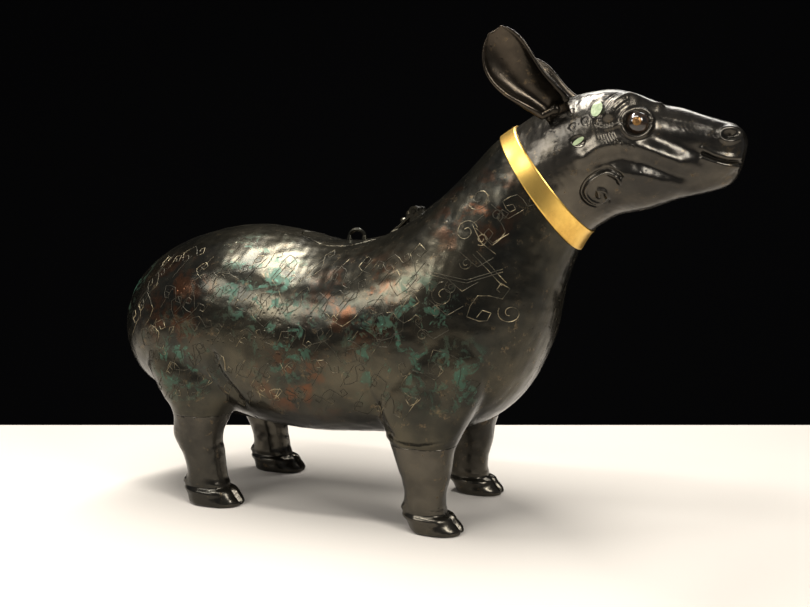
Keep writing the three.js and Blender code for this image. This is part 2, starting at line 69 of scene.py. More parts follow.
# Camera: where the photograph was taken from, in metres
CAMERA_AT = (0.22129, -0.56646, 0.19324)
CAMERA_AIM = (-0.36427, 0.92475, -0.11025)
PHOTO_WIDTH_PX = 810
PHOTO_FOCAL_PX = 1000

# Table and wall, in metres from the point below the camera
TABLE_BEHIND = 0.82
TABLE_BEFORE = 1.2
TABLE_HALF_WIDTH = 1.6
WALL_BEHIND = 2.4
WALL_HALF_WIDTH = 4
WALL_FOOT = -1.5
WALL_TOP = 3

# Lamps: name, then place, aim and size in metres, then power in watts
LAMPS = [
    ("lamp_top", (-0.22, 0.06, 0.92), (0.0, 0.0, 0.1), (0.8, 0.1), 13),
    ("lamp_sheen", (0.0, -0.3, 0.95), (0.0, 0.0, 0.1), (0.5, 0.07), 3),
    ("lamp_front", (0.75, -0.45, 0.75), (0.08, 0, 0.15), (0.3, 0.3), 6),
    ("lamp_side", (-0.5, -0.8, 0.7), (0, 0, 0.1), (0.5, 0.3), 5),
    ("lamp_back", (0.1, 0.8, 0.8), (0, 0, 0.1), (0.6, 0.3), 3),
]
LAMP_COLOUR = (1, 0.97, 0.92)
WORLD_COLOUR = (0.9, 0.92, 1.0, 1)
WORLD_STRENGTH = 0.12

# Sections: top x, top z, low x, low z, half width, squareness, lift of the widest part
BODY = [
    (-183.5, 112, -182.5, 99, 7, 2, 0),
    (-179.5, 130, -177.5, 83, 29, 2.05, 0),
    (-167, 148, -167, 69, 45, 2.1, 0),
    (-146, 161.5, -150, 61, 56, 2.15, 0.02),
    (-120, 170, -127, 57, 62, 2.2, 0.03),
    (-94, 173.2, -104, 52.5, 65, 2.2, 0.02),
    (-65, 169.3, -78, 47.5, 66, 2.2, -0.04),
    (-38, 163.8, -48, 45.5, 66, 2.2, -0.06),
    (-12, 166.3, -16, 47, 65, 2.2, -0.05),
    (8, 174.5, 20, 50, 63, 2.2, -0.05),
    (27, 188, 53, 56, 59.5, 2.2, -0.08),
    (41, 200.5, 78, 74, 53, 2.15, -0.1),
    (52, 212, 95, 105, 44, 2.1, -0.08),
    (60, 220.5, 102.5, 138, 37, 2.1, -0.05),
    (65.5, 225, 110.5, 161, 33, 2.1, 0),
    (70, 228, 116, 170, 31.5, 2.1, 0),
]
HEAD = [
    (70.2, 228.2, 116.2, 170.2, 31.5, 2.1, 0),
    (80, 234, 120.5, 173.8, 30.5, 2.1, 0.05),
    (92, 241.5, 126, 177.5, 30, 2.15, 0.1),
    (106, 246.5, 133, 181, 30, 2.2, 0.15),
    (119, 249, 140, 182.5, 30.2, 2.3, 0.2),
    (131, 249.5, 148, 184, 29.5, 2.35, 0.22),
    (142, 246.5, 156, 186.5, 27, 2.3, 0.2),
    (153, 242.5, 164, 189.5, 22.5, 2.2, 0.1),
    (165, 239, 172, 191.5, 18.5, 2.2, 0.02),
    (176, 235, 179, 193, 16.5, 2.3, 0),
    (185, 232, 186, 195, 16, 2.4, 0.02),
    (192.5, 229.5, 191.5, 197.5, 14.5, 2.4, 0.05),
    (197.5, 225.5, 195.5, 202.5, 11, 2.2, 0.05),
    (199.7, 220, 198, 210.5, 5.5, 2, 0),
]
BODY_END = len(BODY) - 1
HEAD_END = len(HEAD) - 1

# Legs, level rings: height, fore-aft centre, half length, distance out, half width
FORELEG = [
    (0, 7.5, 15.5, 0, 12.5), (3, 6.5, 15.8, 0, 12.8), (9, 2.2, 14, 0, 12), (14, 0, 12, 0, 11),
    (24, 0, 12.4, 0, 11.2), (34, 0, 15, 0.5, 12.8), (44, -1, 17.2, 0.5, 15), (54, -1, 20.5, 0, 17.5),
    (66, -1, 27, -1, 20.5), (84, 1, 34, -2.5, 23.5), (106, 4, 35, -4, 25.5), (126, 6, 28, -8, 25),
    (144, 6, 10, -20, 14),
]
HINDLEG = [
    (0, 6.5, 18, 0, 12.5), (3, 6, 18.3, 0, 12.8), (9, 2.6, 16, 0, 11.8), (14, 0.2, 13.4, 0, 10.8),
    (22, -0.4, 12.4, 0, 10.6), (32, -2.6, 13.2, 0, 11.6), (43, -5.8, 15.4, 0.3, 13),
    (58, -3, 18.5, -1, 16.5), (72, -4, 28, -2.5, 20.5), (90, -8, 35, -5, 24.5),
    (112, -11, 36, -8, 26.5), (132, -11, 27, -13, 24.5), (148, -10, 10, -20, 14),
]
LEG_SQUARENESS = 2.3
STANCE = 41.5                    # how far each leg stands from the plane of symmetry
LIMBS = {                        # sections, place along the body, height of the joint with the body
    "front": (FORELEG, 33, 51),
    "rear": (HINDLEG, -113, 57),
}
SHOULDER_FROM = 70               # above this height the limbs sink into the flank
SHOULDER_RISE = 50
SHOULDER_SINK = 4.5
FLANK_LIMIT = 65.75              # leaves room for the inlaid wires within the model's width
LEG_HALF_LENGTH = 32             # how much of the skin round each leg belongs to it
LEG_HALF_WIDTH = 24

# Hooves: how far each feature stands out or in, then its height and place
HOOF_RIM = 0.7
HOOF_RIM_AT = 8.6
HOOF_GROOVE = 1.0
HOOF_GROOVE_AT = 11.5
TOE_GAP_DEPTH = 3.6
TOE_GAP_WIDTH = 1.5
TOE_GAP_TOP = 12
DEW_CLAW = 2.4
DEW_CLAW_AT = 13
DEW_CLAW_BACK = 12
DEW_CLAW_ASIDE = 4.6
SOLE_FADE = 1.5                  # heights over which the relief fades out at sole and joint
JOINT_FADE = 2

# Tail: x, z and half width down its middle line
TAIL = [
    (-181, 114, 4), (-184.5, 100, 4.6), (-181, 84, 5), (-175, 71, 4.8), (-169.5, 61, 4), (-167, 55, 1.8),
]
TAIL_FLATNESS = 0.8

# Inside of the body: its wall, the filling mouth under the lid and the spaces for the legs
WALL = 3.2
HOLLOW_START = 0.9               # place along the body's sections where the hollow starts
LID_CENTRE = -31
LID_LENGTH = 33
LID_WIDTH = 21
LID_GAP = 0.8
MOUTH_FROM = 120                 # heights between which the filling mouth is cut
MOUTH_TO = 200
SPACE_HALF_LENGTH = 34
SPACE_HALF_WIDTH = 90
SPACE_FOOT = -20
JOINT_GAP = 0.02                 # between each leg and the body
PRISM_SIDES = 96

# Creases and the ridge over the foreleg's joint, in the side view
THIGH_CREASE = [(-94, 98), (-91, 86), (-84, 75), (-82, 68)]
SHOULDER_CREASE = [(5, 92), (5, 80), (10, 66), (16, 58)]
FORELEG_RIDGE = [(13, 55.5), (24, 53), (35, 52.6), (48, 55)]
SHOULDER = (40, 110)

# Head features, in the side view
EYE = (145, 229.5)
BROW = [(131, 234.5), (134, 240), (139, 243.6), (145.5, 244.6), (150, 243), (154, 240.5)]
EYE_CORNER = [(136, 229), (133, 227.6), (130, 227)]
CHEEKBONE = [(119, 212), (126, 216.5), (136, 219.5), (146, 217.5), (155, 213.5), (166, 208.5)]
CHEEK_FURROW = [(128, 209), (138, 211), (150, 208), (162, 203), (172, 200)]
MUZZLE_FURROW = [(156, 222), (166, 218), (177, 214)]
JAW_MUSCLE = [(136, 204), (150, 202.5), (166, 197.5)]
MUZZLE_SWELL = (181, 222.5)
JAW_SWELL = (150, 196)
CHEEK_SWELL = (112, 205)
MOUTH = [(178, 213.6), (184, 211), (190, 209.2), (199, 208.8)]
LIP_NOTCH = [(189, 200), (194, 203)]
NOSTRIL = (191.3, 223.2)
BROW_END = (156, 243)
JAW_SCROLL = [
    (137, 199), (135, 202.2), (129.2, 203.8), (121.7, 199.9), (118.3, 193.8), (120.8, 189),
    (125.4, 187.6), (129.4, 190.6), (128.9, 194.4), (125.6, 194.9), (125.2, 192.1),
]
JAW_SCROLL_MIDDLE = (127.4, 195.6)
SMALL_SPIRALS = [(118.5, 231), (125, 230.2), (137, 218.8), (143, 217.6), (110, 236), (112, 228)]
HAIR_WIDTH = 0.33
HAIR_DEPTH_BEHIND = 0.42         # depths of the lines behind the eye, over it and on the muzzle
HAIR_DEPTH_OVER = 0.35
MUZZLE_HAIR_DEPTH = 0.16
SPIRAL_DEPTH = 0.5
INLAY_SINK = 0.45                # how far the skin sinks where an inlay lies

# Ear: middle line x, y and z, half width, depth of the hollow
EAR = [
    (104, -16, 228, 6, 3.5), (103.5, -27, 235, 7, 5), (100.5, -33, 240, 8.2, 7),
    (95, -37.5, 245, 9.6, 8.5), (88, -41, 251, 11.2, 9), (82, -43.5, 258.5, 12.4, 8),
    (77.5, -45, 266.5, 12, 6), (74.5, -46, 273.5, 8.8, 3.5), (73, -46.5, 279, 3.8, 1),
]
EAR_RINGS = 120
EAR_WIDTH_STEPS = 44
EAR_ACROSS = (0.84, 0.12, 0.53)
EAR_OPENS = (0.1, -0.97, 0.2)
EAR_BACK = 1.2                   # thickness behind the hollow's surface
LEFT_EAR_LEAN = 0.16
LIP_RADIUS = 0.7                 # at the tip
LEADING_LIP_RADIUS = 1.7         # at the root
TRAILING_LIP_RADIUS = 2.2
LIP_SIDES = 14
LIP_FOOT_RING = 22               # ring of the ear at which the trailing lip ends inside its face
TRAILING_LIP_RING = 24           # rings from which the lips run up the two edges
LEADING_LIP_RING = 26
LOBE_SWELL = 1.35                # how much thicker than the lip its end at the root is

# Collar band: start and end along its sections, and its outer and inner distance from the skin
COLLAR = [BODY[-2], BODY[-1], HEAD[1], HEAD[2]]
BAND_START = 0.12
BAND_END = 1.5
BAND_OUT = 0.95
BAND_IN = -0.6
BAND_RINGS = 12
BAND_SIDES = 240

# Inlaid wires
WIRE_RADIUS = 0.19
WIRE_PROUD = 0.08                # how far a wire's middle stands over the skin
WIRE_FACING = 0.12               # where the skin's normal has less y than this, no wire is laid
BESIDE = 120                     # a distance out, clear of the flank

# Materials: patches of corrosion seen on the body, each a place and a radius
GREEN_PATCHES = [
    ((-60, -62, 135), 34), ((-45, -64, 110), 30), ((-70, -50, 165), 26), ((-120, -55, 95), 30),
    ((-165, -30, 130), 26), ((20, -62, 105), 34), ((35, -58, 125), 26), ((50, -50, 95), 24),
    ((-100, 58, 130), 42), ((10, 62, 120), 40), ((-150, 20, 150), 26),
]
RED_PATCHES = [
    ((-125, -60, 130), 32), ((-40, -66, 80), 30), ((0, -60, 135), 34), ((60, -45, 185), 30),
    ((-60, 60, 100), 40),
]
GREEN_FADE = 1.25                # how far a patch fades out, as a share of its radius
RED_FADE = 1.3
BRONZE_METAL = 0.9
CRUST_METAL = 0.25
CRUST_DULLNESS = 0.28

# Colours: dark and light of each bronze, then its stains, then the other materials
BODY_TONES = ((0.024, 0.024, 0.02), (0.075, 0.066, 0.046))
HEAD_TONES = ((0.04, 0.037, 0.032), (0.105, 0.092, 0.072))
EAR_TONES = ((0.02, 0.017, 0.013), (0.075, 0.06, 0.044))
# The legs' tones are the bronze's colour made lighter than the body's: a painted reflection of the pale table
# on the legs
LEG_TONES_WITH_PAINTED_REFLECTION = ((0.034, 0.032, 0.027), (0.09, 0.08, 0.063))
WORN_BROWN = (0.13, 0.095, 0.055)
RED_BROWN = (0.105, 0.045, 0.022)
DARK_GREEN = (0.025, 0.085, 0.052)
TURQUOISE = (0.12, 0.33, 0.24)
PALE_RUST = (0.2, 0.17, 0.11)
BRIGHT_GOLD = (0.86, 0.56, 0.14)
DEEP_GOLD = (0.66, 0.38, 0.09)
STAINED_GOLD = (0.2, 0.11, 0.04)
LIGHT_AMBER = (0.34, 0.18, 0.06)
DARK_AMBER = (0.1, 0.05, 0.02)
DARK_STONE = (0.22, 0.29, 0.15)
PALE_STONE = (0.4, 0.47, 0.28)
DULL_WIRE = (0.34, 0.27, 0.16)
BRIGHT_WIRE = (0.5, 0.42, 0.27)
WORN_WIRE = (0.055, 0.05, 0.038)
BLACK_PASTE = (0.006, 0.005, 0.004)
BROWN_PASTE = (0.03, 0.017, 0.009)
TABLE_COLOUR = (0.64, 0.6, 0.55)
WALL_COLOUR = (0.0022, 0.0022, 0.0026)


# Forms from section tables
def smooth_rows(rows, u):
    """Values of a section table at the places u, passing smoothly through each row."""
    table = np.array(rows, float)
    last = len(table) - 1
    i = np.clip(np.floor(u).astype(int), 0, last - 1)
    t = (u - i)[:, None]
    p0, p1 = table[np.maximum(i - 1, 0)], table[i]
    p2, p3 = table[i + 1], table[np.minimum(i + 2, last)]
    m1, m2 = (p2 - p0) / 2, (p3 - p1) / 2
    return (
        (2 * t**3 - 3 * t**2 + 1) * p1 + (t**3 - 2 * t**2 + t) * m1
        + (3 * t**2 - 2 * t**3) * p2 + (t**3 - t**2) * m2
    )


def along_rows(rows, count):
    """A section table with its rows replaced by evenly spaced smooth ones."""
    return smooth_rows(rows, np.linspace(0, len(rows) - 1, count))


def turns(count):
    return np.arange(count) / count * 2 * np.pi


def squared(value, n):
    """A sine or cosine made squarer: n of 2 gives a circle, and a larger n a squarer ring."""
    return np.sign(value) * np.abs(value) ** (2 / n)


def section_grid(rows, start, end, along, around, grow=0.0):
    """Points of a body or head loft, as an array of along by around by 3."""
    v = smooth_rows(rows, np.linspace(start, end, along))
    angle = turns(around)
    top, low = v[:, 0:2], v[:, 2:4]
    height = np.linalg.norm(top - low, axis=1) / 2
    direction = (top - low) / (2 * height[:, None])
    side = squared(np.cos(angle)[None], v[:, 5:6])
    up = squared(np.sin(angle)[None], v[:, 5:6])
    reach = (up + v[:, 6:7] * (1 - up * up)) * (height[:, None] + grow)
    centre = (top + low) / 2
    x = centre[:, 0:1] + direction[:, 0:1] * reach
    z = centre[:, 1:2] + direction[:, 1:2] * reach
    return np.stack([x, side * (v[:, 4:5] + grow), z], -1)


def limb_grid(rows, base, side, along=90, around=64):
    """Points of a leg and its haunch or shoulder, the top sunk a little into the flank."""
    v = along_rows(rows, along)
    angle = turns(around)
    x = base + v[:, 1:2] + v[:, 2:3] * squared(np.cos(angle), LEG_SQUARENESS)[None]
    y = side * (STANCE + v[:, 3:4]) + v[:, 4:5] * squared(np.sin(angle), LEG_SQUARENESS)[None]
    z = np.repeat(v[:, 0:1], around, 1)
    y -= side * np.clip((z - SHOULDER_FROM) / SHOULDER_RISE, 0, 1) * SHOULDER_SINK
    return np.stack([x, y, z], -1)


def tail_grid(along=40, around=24):
    v = along_rows(TAIL, along)
    angle = turns(around)
    x = v[:, 0:1] + v[:, 2:3] * TAIL_FLATNESS * np.cos(angle)[None]
    y = v[:, 2:3] * np.sin(angle)[None]
    return np.stack([x, y, np.repeat(v[:, 1:2], around, 1)], -1)


# Meshes
def grid_mesh(name, grid):
    """A closed mesh over a grid of rings in millimetres, capped at both ends."""
    along, around = grid.shape[:2]
    points = grid.reshape(-1, 3).copy()
    points[:, 0] += SHIFT
    i = np.arange((along - 1) * around)
    following = i - i % around + (i + 1) % around
    faces = np.stack([i, following, following + around, i + around], 1).tolist()
    faces.append(list(range(around))[::-1])
    faces.append(list(range((along - 1) * around, along * around)))
    mesh = bpy.data.meshes.new(name)
    mesh.from_pydata((points * MM).tolist(), [], faces)
    return mesh


def ball_mesh(name, middle, radius, segments, rings):
    """A ball, its middle and radius in metres."""
    bm = bmesh.new()
    bmesh.ops.create_uvsphere(bm, u_segments=segments, v_segments=rings, radius=radius)
    for v in bm.verts:
        v.co += middle
    mesh = bpy.data.meshes.new(name)
    bm.to_mesh(mesh)
    bm.free()
    return mesh


def add_object(name, mesh):
    piece = bpy.data.objects.new(name, mesh)
    scene.collection.objects.link(piece)
    return piece


def joined(name, meshes):
    """One object from several closed meshes, all facing outwards."""
    bm = bmesh.new()
    for mesh in meshes:
        bm.from_mesh(mesh)
    bmesh.ops.recalc_face_normals(bm, faces=bm.faces)
    out = bpy.data.meshes.new(name)
    bm.to_mesh(out)
    bm.free()
    return add_object(name, out)


def apply_modifiers(piece):
    graph = bpy.context.evaluated_depsgraph_get()
    mesh = bpy.data.meshes.new_from_object(piece.evaluated_get(graph))
    piece.modifiers.clear()
    piece.data = mesh


def melt(piece, voxel, rounds):
    """Melts the piece's solids into one skin, then smooths it."""
    remesh = piece.modifiers.new("melt", "REMESH")
    remesh.mode = "VOXEL"
    remesh.voxel_size = voxel * MM
    smooth = piece.modifiers.new("smooth", "SMOOTH")
    smooth.factor = 0.5
    smooth.iterations = rounds
    apply_modifiers(piece)


def cut(piece, tools):
    for tool in tools:
        boolean = piece.modifiers.new("cut", "BOOLEAN")
        boolean.operation = "DIFFERENCE"
        boolean.solver = "EXACT"
        boolean.object = tool
    apply_modifiers(piece)
    for tool in tools:
        bpy.data.objects.remove(tool)


def shade(piece, material):
    piece.data.polygons.foreach_set("use_smooth", [True] * len(piece.data.polygons))
    piece.data.materials.clear()
    piece.data.materials.append(material)


def points_of(mesh):
    """The mesh's points in millimetres of the section tables."""
    co = np.empty(len(mesh.vertices) * 3)
    mesh.vertices.foreach_get("co", co)
    co = co.reshape(-1, 3) / MM
    co[:, 0] -= SHIFT
    return co


def set_points(mesh, co):
    co[:, 0] += SHIFT
    mesh.vertices.foreach_set("co", (co * MM).ravel())
    mesh.update()


def normals_of(mesh):
    normal = np.empty(len(mesh.vertices) * 3)
    mesh.vertices.foreach_get("normal", normal)
    return normal.reshape(-1, 3)


def displace(mesh, amount):
    """Moves each point along its normal, by millimetres, within the model's box and with flat soles."""
    co = points_of(mesh) + normals_of(mesh) * amount[:, None]
    low, high = (np.array(corner) / MM - (SHIFT, 0, 0) for corner in cad_box)
    co = np.clip(co, low + INSET, high - INSET)
    co[:, 2] = np.where(co[:, 2] < 2 * INSET, 0, co[:, 2])
    set_points(mesh, co)


# Relief: amounts by which points move in or out, from lines and spots of the side view
def line_distance(points, line):
    """Distance in the side view from each point to a line of x, z points."""
    flat = points[:, [0, 2]]
    best = np.full(len(flat), np.inf)
    for a, b in zip(np.array(line[:-1], float), np.array(line[1:], float)):
        along = b - a
        t = np.clip(((flat - a) @ along) / (along @ along), 0, 1)
        best = np.minimum(best, np.linalg.norm(flat - a - t[:, None] * along, axis=1))
    return best


def bell(distance, width):
    return np.exp(-((distance / width) ** 2))


def ridge(points, line, width, height):
    return height * bell(line_distance(points, line), width)


def spot(points, at, radius, height, stretch=(1.0, 1.0)):
    dx = (points[:, 0] - at[0]) / stretch[0]
    dz = (points[:, 2] - at[1]) / stretch[1]
    return height * bell(np.hypot(dx, dz), radius)


def unevenness(points, longest, shortest, height, seed, count=60):
    """A gentle cast roughness: many faint waves of different lengths and directions."""
    waves = np.random.default_rng(seed)
    total = np.zeros(len(points))
    for _ in range(count):
        direction = waves.normal(size=3)
        direction /= np.linalg.norm(direction)
        length = waves.uniform(shortest, longest)
        total += np.sin(points @ direction * 2 * np.pi / length + waves.uniform(0, 2 * np.pi))
    return total * height / math.sqrt(count / 2)


def arc(centre, radius, start, end, squash=1.0, steps=16):
    angles = np.radians(np.linspace(start, end, steps))
    return [(centre[0] + radius * math.cos(a), centre[1] + radius * squash * math.sin(a)) for a in angles]


def spiral(centre, outer, inner, start, turned, steps=30):
    out = []
    for i in range(steps + 1):
        t = i / steps
        radius = outer + (inner - outer) * t
        angle = math.radians(start) + turned * 2 * math.pi * t
        out.append((centre[0] + radius * math.cos(angle), centre[1] + radius * math.sin(angle)))
    return out


def raised(line, rise):
    return [(x, z + rise) for x, z in line]


# Node helpers
def add_node(tree, kind, inputs=None, **settings):
    node = tree.nodes.new(kind)
    for key, value in settings.items():
        setattr(node, key, value)
    for key, value in (inputs or {}).items():
        if isinstance(value, bpy.types.NodeSocket):
            tree.links.new(value, node.inputs[key])
        else:
            node.inputs[key].default_value = value
    return node


def new_material(name):
    """A material, its node tree, its shader and the place on the object."""
    material = bpy.data.materials.new(name)
    material.use_nodes = True
    tree = material.node_tree
    place = add_node(tree, "ShaderNodeTexCoord").outputs["Object"]
    return material, tree, tree.nodes["Principled BSDF"], place


def noise(tree, place, scale, detail, rough, distortion=0.0):
    inputs = {"Vector": place, "Scale": scale, "Detail": detail, "Roughness": rough, "Distortion": distortion}
    return add_node(tree, "ShaderNodeTexNoise", inputs).outputs["Fac"]


def ramp(tree, value, low, high):
    """Runs softly from 0 to 1 as the value runs from low to high."""
    inputs = {"Value": value, "From Min": low, "From Max": high}
    return add_node(tree, "ShaderNodeMapRange", inputs, interpolation_type="SMOOTHSTEP").outputs["Result"]


def between(tree, value, low, high):
    """Runs from low to high as the value runs from 0 to 1."""
    inputs = {"Value": value, "To Min": low, "To Max": high}
    return add_node(tree, "ShaderNodeMapRange", inputs).outputs["Result"]


def calculate(tree, operation, a, b):
    return add_node(tree, "ShaderNodeMath", {0: a, 1: b}, operation=operation).outputs["Value"]


def mix(tree, amount, a, b):
    """A colour between a and b, each a socket or three numbers."""
    whole = {"Factor": amount, "A": a, "B": b}
    node = add_node(tree, "ShaderNodeMix", data_type="RGBA")
    sockets = {s.name: s for s in node.inputs if s.enabled}
    for key, value in whole.items():
        if isinstance(value, bpy.types.NodeSocket):
            tree.links.new(value, sockets[key])
        else:
            sockets[key].default_value = (*value, 1)
    return next(s for s in node.outputs if s.enabled)


def near(tree, place, centre, radius):
    """A soft ball of influence round a place of the section tables."""
    middle = ((centre[0] + SHIFT) * MM, centre[1] * MM, centre[2] * MM)
    distance = add_node(tree, "ShaderNodeVectorMath", {0: place, 1: middle}, operation="DISTANCE")
    return ramp(tree, distance.outputs["Value"], radius * MM, 0.0)


def patches(tree, place, places, fade):
    """Where any of the patches reaches."""
    reach = None
    for centre, radius in places:
        ball = near(tree, place, centre, radius * fade)
        reach = ball if reach is None else calculate(tree, "MAXIMUM", reach, ball)
    return reach


def bumps(tree, shader, height, strength, distance):
    inputs = {"Height": height, "Strength": strength, "Distance": distance * MM}
    bump = add_node(tree, "ShaderNodeBump", inputs)
    tree.links.new(bump.outputs["Normal"], shader.inputs["Normal"])


# Materials
def bronze_material(name, tones, corroded=False):
    """Dark patina, worn and pitted, and where corroded with green crusts and red-brown stains."""
    material, tree, shader, place = new_material(name)
    broad = noise(tree, place, scale=22, detail=8, rough=0.62)
    fine = noise(tree, place, scale=160, detail=10, rough=0.7)
    speck = noise(tree, place, scale=620, detail=6, rough=0.7)
    colour = mix(tree, ramp(tree, broad, 0.35, 0.68), *tones)
    colour = mix(tree, ramp(tree, fine, 0.56, 0.74), colour, WORN_BROWN)
    rough = between(tree, fine, 0.13, 0.36)
    shader.inputs["Metallic"].default_value = BRONZE_METAL
    if corroded:
        mottle = noise(tree, place, scale=75, detail=9, rough=0.68, distortion=0.4)
        red = patches(tree, place, RED_PATCHES, RED_FADE)
        colour = mix(tree, calculate(tree, "MULTIPLY", red, ramp(tree, mottle, 0.47, 0.6)), colour, RED_BROWN)
        islands = noise(tree, place, scale=105, detail=10, rough=0.7, distortion=0.6)
        green = patches(tree, place, GREEN_PATCHES, GREEN_FADE)
        crust = calculate(tree, "MULTIPLY", green, ramp(tree, islands, 0.51, 0.6))
        colour = mix(tree, crust, colour, DARK_GREEN)
        bright = calculate(tree, "MULTIPLY", crust, ramp(tree, speck, 0.58, 0.68))
        colour = mix(tree, bright, colour, TURQUOISE)
        rough = calculate(tree, "ADD", rough, calculate(tree, "MULTIPLY", crust, CRUST_DULLNESS))
        tree.links.new(between(tree, crust, BRONZE_METAL, CRUST_METAL), shader.inputs["Metallic"])
    rust = calculate(tree, "MULTIPLY", ramp(tree, speck, 0.66, 0.78), 0.6)
    tree.links.new(mix(tree, rust, colour, PALE_RUST), shader.inputs["Base Color"])
    tree.links.new(rough, shader.inputs["Roughness"])
    pits = add_node(tree, "ShaderNodeTexVoronoi", {"Vector": place, "Scale": 330.0}).outputs["Distance"]
    pitted = ramp(tree, noise(tree, place, scale=30, detail=5, rough=0.6), 0.52, 0.66)
    pit_depth = calculate(tree, "MULTIPLY", pitted, ramp(tree, pits, 0.3, 0.05))
    grain = calculate(tree, "MULTIPLY", noise(tree, place, scale=90, detail=6, rough=0.65), 0.7)
    worn = calculate(tree, "ADD", calculate(tree, "MULTIPLY", fine, 0.35), grain)
    bumps(tree, shader, calculate(tree, "SUBTRACT", worn, pit_depth), strength=0.32, distance=0.6)
    return material


def gilt_material(name):
    """Satin gold, stained and rubbed."""
    material, tree, shader, place = new_material(name)
    stain = noise(tree, place, scale=55, detail=8, rough=0.65)
    fine = noise(tree, place, scale=420, detail=8, rough=0.7)
    colour = mix(tree, ramp(tree, stain, 0.4, 0.7), BRIGHT_GOLD, DEEP_GOLD)
    colour = mix(tree, ramp(tree, fine, 0.62, 0.76), colour, STAINED_GOLD)
    tree.links.new(colour, shader.inputs["Base Color"])
    tree.links.new(between(tree, stain, 0.2, 0.48), shader.inputs["Roughness"])
    shader.inputs["Metallic"].default_value = 1.0
    bumps(tree, shader, fine, strength=0.15, distance=0.3)
    return material


def amber_material(name):
    material, tree, shader, place = new_material(name)
    cloud = noise(tree, place, scale=500, detail=7, rough=0.65)
    colour = mix(tree, ramp(tree, cloud, 0.4, 0.65), LIGHT_AMBER, DARK_AMBER)
    tree.links.new(colour, shader.inputs["Base Color"])
    tree.links.new(between(tree, cloud, 0.15, 0.35), shader.inputs["Roughness"])
    shader.inputs["Metallic"].default_value = 0.7
    return material


def stone_material(name):
    material, tree, shader, place = new_material(name)
    veins = noise(tree, place, scale=380, detail=9, rough=0.7, distortion=0.8)
    colour = mix(tree, ramp(tree, veins, 0.35, 0.65), DARK_STONE, PALE_STONE)
    tree.links.new(colour, shader.inputs["Base Color"])
    tree.links.new(between(tree, veins, 0.3, 0.6), shader.inputs["Roughness"])
    bumps(tree, shader, veins, strength=0.2, distance=0.3)
    return material


def wire_material(name):
    """Pale metal, dark where it is worn away."""
    material, tree, shader, place = new_material(name)
    worn = noise(tree, place, scale=60, detail=8, rough=0.7)
    fine = noise(tree, place, scale=500, detail=6, rough=0.7)
    colour = mix(tree, ramp(tree, fine, 0.35, 0.65), DULL_WIRE, BRIGHT_WIRE)
    colour = mix(tree, ramp(tree, worn, 0.34, 0.5), colour, WORN_WIRE)
    tree.links.new(colour, shader.inputs["Base Color"])
    tree.links.new(between(tree, worn, 0.25, 0.5), shader.inputs["Roughness"])
    shader.inputs["Metallic"].default_value = BRONZE_METAL
    return material


def eye_material(name):
    material, tree, shader, place = new_material(name)
    cloud = noise(tree, place, scale=260, detail=6, rough=0.6)
    colour = mix(tree, ramp(tree, cloud, 0.4, 0.65), BLACK_PASTE, BROWN_PASTE)
    tree.links.new(colour, shader.inputs["Base Color"])
    tree.links.new(between(tree, cloud, 0.08, 0.2), shader.inputs["Roughness"])
    shader.inputs["Coat Weight"].default_value = 0.6
    return material


def stage_material(name, colour, rough):
    material, tree, shader, place = new_material(name)
    grain = noise(tree, place, scale=700, detail=4, rough=0.5)
    darker = tuple(c * 0.96 for c in colour)
    tree.links.new(mix(tree, grain, darker, colour), shader.inputs["Base Color"])
    shader.inputs["Roughness"].default_value = rough
    shader.inputs["Specular IOR Level"].default_value = 0.1
    return material


BODY_BRONZE = bronze_material("body_bronze", BODY_TONES, corroded=True)
HEAD_BRONZE = bronze_material("head_bronze", HEAD_TONES)
EAR_BRONZE = bronze_material("ear_bronze", EAR_TONES)
# Leg bronze: lighter tones that paint the table's reflection on the legs
LEG_BRONZE_WITH_PAINTED_REFLECTION = bronze_material("leg_bronze_painted_reflection", LEG_TONES_WITH_PAINTED_REFLECTION)
GILT = gilt_material("gilt")
PUPIL = amber_material("pupil_amber")
STONE = stone_material("green_stone")
EYE_PASTE = eye_material("eye_paste")
WIRE = wire_material("wire_metal")
TABLE = stage_material("table", TABLE_COLOUR, rough=0.55)
DARK_WALL = stage_material("wall", WALL_COLOUR, rough=0.95)


# Camera, light, table and wall
def place_camera():
    camera = bpy.data.objects.new("camera", bpy.data.cameras.new("camera"))
    camera.data.sensor_fit = "HORIZONTAL"
    camera.data.angle = 2 * math.atan(PHOTO_WIDTH_PX / 2 / PHOTO_FOCAL_PX)
    camera.data.clip_start = 0.01
    camera.location = CAMERA_AT
    camera.rotation_euler = Vector(CAMERA_AIM).to_track_quat("-Z", "Y").to_euler()
    scene.collection.objects.link(camera)
    scene.camera = camera


def place_lamp(name, at, aim, size, watts):
    lamp = bpy.data.objects.new(name, bpy.data.lights.new(name, "AREA"))
    lamp.data.shape = "RECTANGLE"
    lamp.data.size, lamp.data.size_y = size
    lamp.data.energy = watts
    lamp.data.color = LAMP_COLOUR
    lamp.location = at
    lamp.rotation_euler = (Vector(aim) - Vector(at)).to_track_quat("-Z", "Y").to_euler()
    scene.collection.objects.link(lamp)


def light_world():
    scene.world = bpy.data.worlds.new("world")
    scene.world.use_nodes = True
    background = scene.world.node_tree.nodes["Background"]
    background.inputs["Color"].default_value = WORLD_COLOUR
    background.inputs["Strength"].default_value = WORLD_STRENGTH


def flat_sheet(name, corners, material):
    mesh = bpy.data.meshes.new(name)
    mesh.from_pydata(corners, [], [(0, 1, 2, 3)])
    mesh.materials.append(material)
    add_object(name, mesh)


